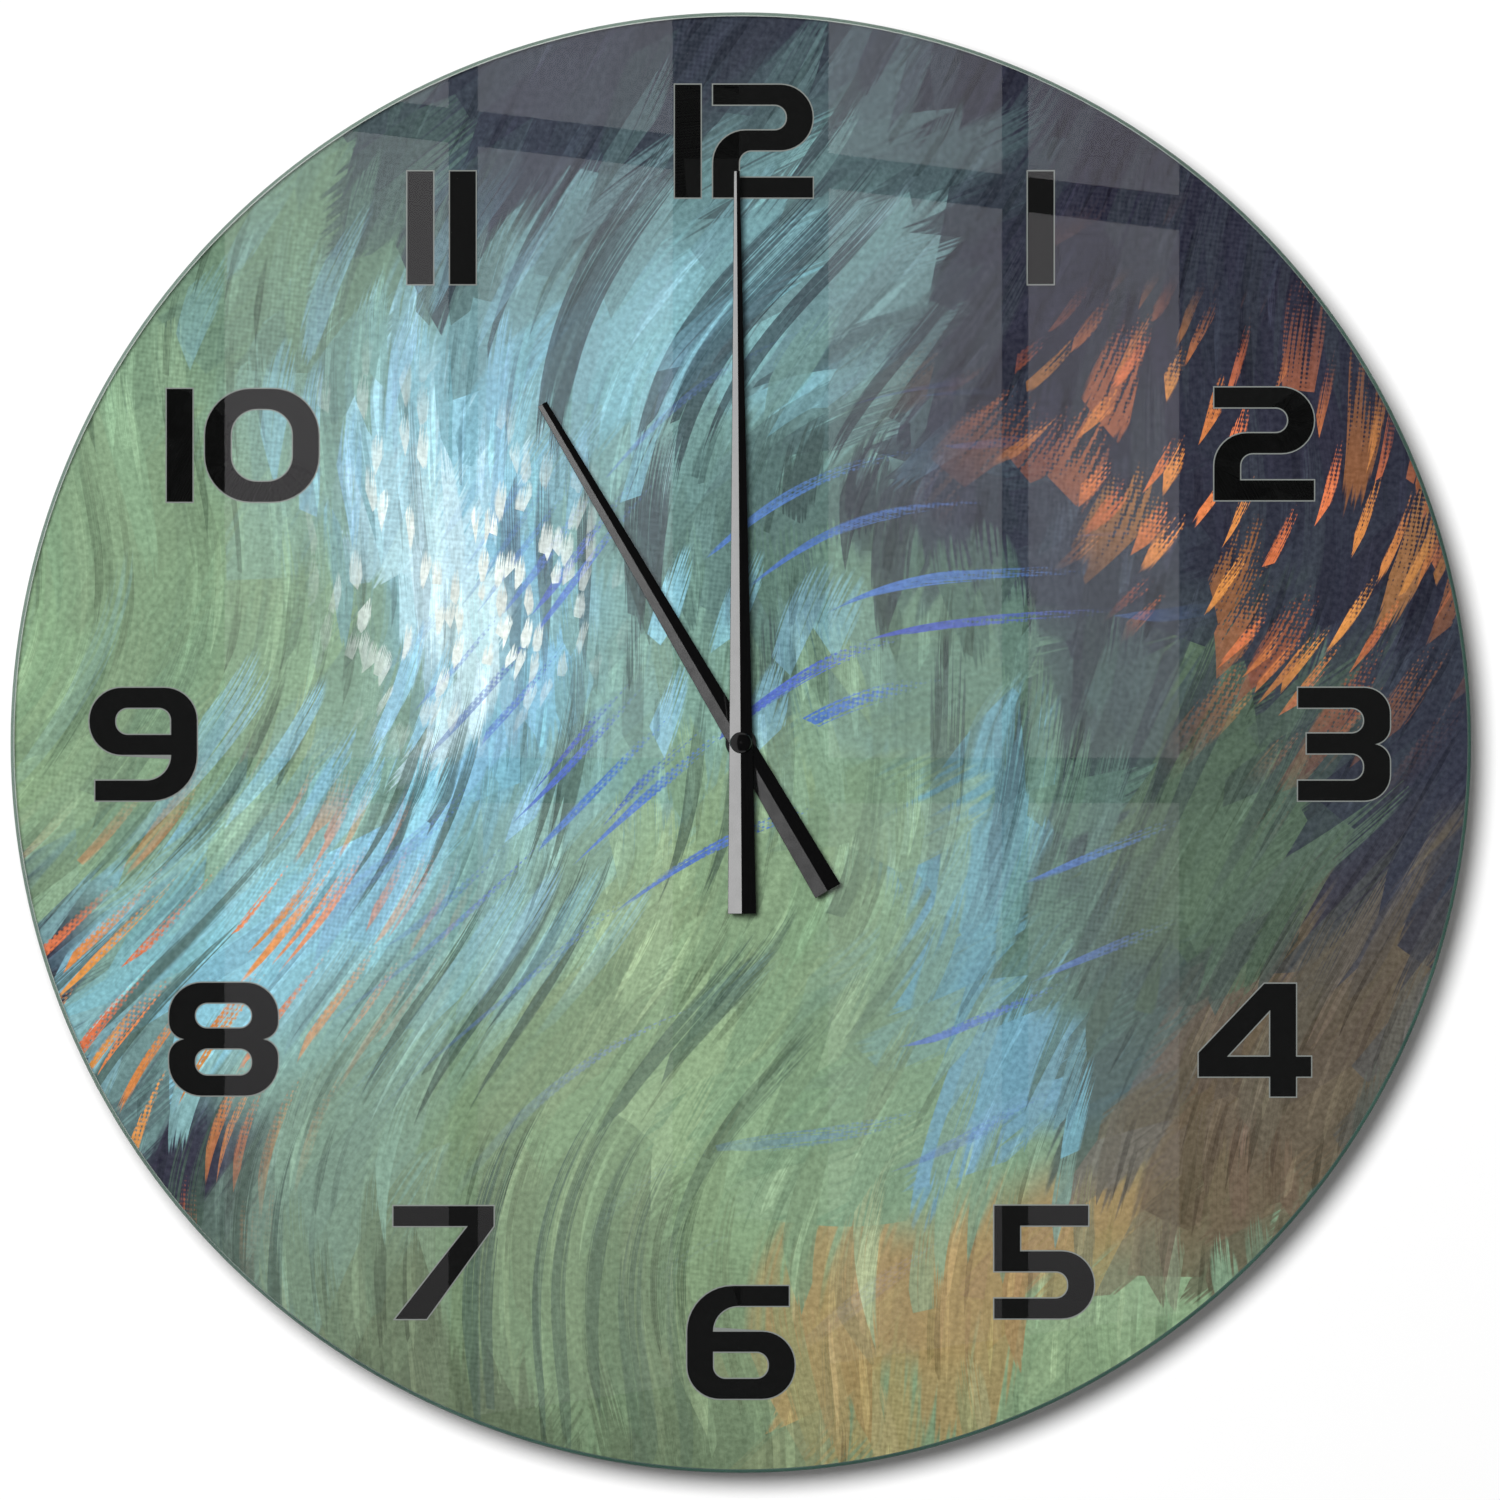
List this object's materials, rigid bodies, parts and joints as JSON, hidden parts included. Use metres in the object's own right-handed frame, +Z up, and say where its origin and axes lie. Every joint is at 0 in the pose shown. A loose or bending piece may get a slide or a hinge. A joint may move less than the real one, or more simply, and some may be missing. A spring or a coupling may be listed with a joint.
{
  "type": "wall clock",
  "caption": "Round frameless glass wall clock: disc with a printed dial and numerals, folded hands, and a quartz movement, hanger plate and spacers behind it.",
  "frame": {"origin": "where the hand arbor's axis meets the wall plane, at the movement's flat rear face", "axes": "+Z up, the dial faces -Y, +Y goes into the wall along the hand arbor"},
  "size_m": [0.3, 0.0267, 0.3],
  "materials": {
    "glass": "clear tempered float glass with a polished, faintly green edge",
    "dial_print": "satin printed film, painterly greens with blue and orange accents",
    "numeral_ink": "opaque black ink with a thin grey outline",
    "foam_tape": "white closed-cell foam tape",
    "case_plastic": "fine spark-eroded black",
    "knob_plastic": "fluted dark grey",
    "plate_plastic": "natural white",
    "gear_plastic": "moulded acetal",
    "bobbin_plastic": "moulded",
    "hand_metal": "satin black lacquer on folded aluminium sheet",
    "nut_metal": "black lacquer",
    "brass": "turned",
    "spring_steel": "nickel plated",
    "magnet": "sintered ferrite",
    "soft_iron": "stamped",
    "screw_steel": "zinc plated",
    "copper_wire": "enamelled copper",
    "circuit_board": "solder mask",
    "chip_resin": "black potting resin",
    "crystal_can": "plated can",
    "battery_sleeve": "plain printed sleeve, no lettering",
    "hanger_steel": "zinc plated sheet",
    "rubber": "matt black"
  },
  "bodies": {
    "clock_body": {"glass_disc": "glass", "dial_print": "dial_print", "numeral_1": "numeral_ink", "numeral_2": "numeral_ink", "numeral_3": "numeral_ink", "numeral_4": "numeral_ink", "numeral_5": "numeral_ink", "numeral_6": "numeral_ink", "numeral_7": "numeral_ink", "numeral_8": "numeral_ink", "numeral_9": "numeral_ink", "numeral_10_left": "numeral_ink", "numeral_10_right": "numeral_ink", "numeral_11_left": "numeral_ink", "numeral_11_right": "numeral_ink", "numeral_12_left": "numeral_ink", "numeral_12_right": "numeral_ink", "adhesive_pad": "foam_tape", "front_case": "case_plastic", "rear_cover": "case_plastic", "middle_plate": "plate_plastic", "stator": "soft_iron", "coil_core": "soft_iron", "coil_bobbin": "bobbin_plastic", "coil_winding": "copper_wire", "core_screw_left": "screw_steel", "core_screw_right": "screw_steel", "circuit_board": "circuit_board", "timing_chip": "chip_resin", "quartz_crystal": "crystal_can", "positive_contact": "spring_steel", "negative_contact": "spring_steel", "hanger_plate": "hanger_steel", "hanger_pad": "foam_tape", "wall_spacer_left": "rubber", "wall_spacer_right": "rubber"},
    "minute_set": {"minute_hand": "hand_metal", "cap_nut": "nut_metal", "cannon_pinion": "brass", "clutch_spring": "spring_steel"},
    "hour_set": {"hour_hand": "hand_metal", "hour_wheel": "gear_plastic"},
    "setting_set": {"motion_wheel": "gear_plastic", "setting_knob": "knob_plastic"},
    "seconds_arbor": {"second_wheel": "gear_plastic"},
    "third_arbor": {"third_wheel": "gear_plastic"},
    "minute_ring": {"minute_gear": "gear_plastic"},
    "intermediate_arbor": {"intermediate_wheel": "gear_plastic"},
    "rotor": {"rotor_pinion": "gear_plastic", "rotor_magnet": "magnet"},
    "battery_cell": {"battery": "battery_sleeve"}
  },
  "joints": [
    {"name": "minute_hand_turn", "type": "hinge", "parent": "clock_body", "child": "minute_set", "pos_m": [0, 0, 0], "axis": [0, 1, 0], "continuous": true},
    {"name": "hour_hand_turn", "type": "hinge", "parent": "clock_body", "child": "hour_set", "pos_m": [0, 0, 0], "axis": [0, 1, 0], "continuous": true},
    {"name": "time_setting_turn", "type": "hinge", "parent": "clock_body", "child": "setting_set", "pos_m": [-0.00945, 0, -0.00167], "axis": [0, 1, 0], "continuous": true},
    {"name": "seconds_turn", "type": "hinge", "parent": "clock_body", "child": "seconds_arbor", "pos_m": [0, 0, 0], "axis": [0, 1, 0], "continuous": true},
    {"name": "third_turn", "type": "hinge", "parent": "clock_body", "child": "third_arbor", "pos_m": [0.00918, 0, 0], "axis": [0, 1, 0], "continuous": true},
    {"name": "minute_ring_turn", "type": "hinge", "parent": "clock_body", "child": "minute_ring", "pos_m": [0, 0, 0], "axis": [0, 1, 0], "continuous": true},
    {"name": "intermediate_turn", "type": "hinge", "parent": "clock_body", "child": "intermediate_arbor", "pos_m": [0, 0, 0.00735], "axis": [0, 1, 0], "continuous": true},
    {"name": "rotor_turn", "type": "hinge", "parent": "clock_body", "child": "rotor", "pos_m": [0, 0, 0.01275], "axis": [0, 1, 0], "continuous": true},
    {"name": "battery_out", "type": "slide", "parent": "clock_body", "child": "battery_cell", "axis": [0, 1, 0], "range_m": [0, 0.02]}
  ],
  "couplings": [
    {"joint": "time_setting_turn", "follows": "minute_hand_turn", "ratio": -0.33333},
    {"joint": "hour_hand_turn", "follows": "minute_hand_turn", "ratio": 0.083333},
    {"joint": "third_turn", "follows": "seconds_turn", "ratio": -0.125},
    {"joint": "minute_ring_turn", "follows": "seconds_turn", "ratio": 0.016667},
    {"joint": "intermediate_turn", "follows": "seconds_turn", "ratio": -6},
    {"joint": "rotor_turn", "follows": "seconds_turn", "ratio": 30}
  ]
}
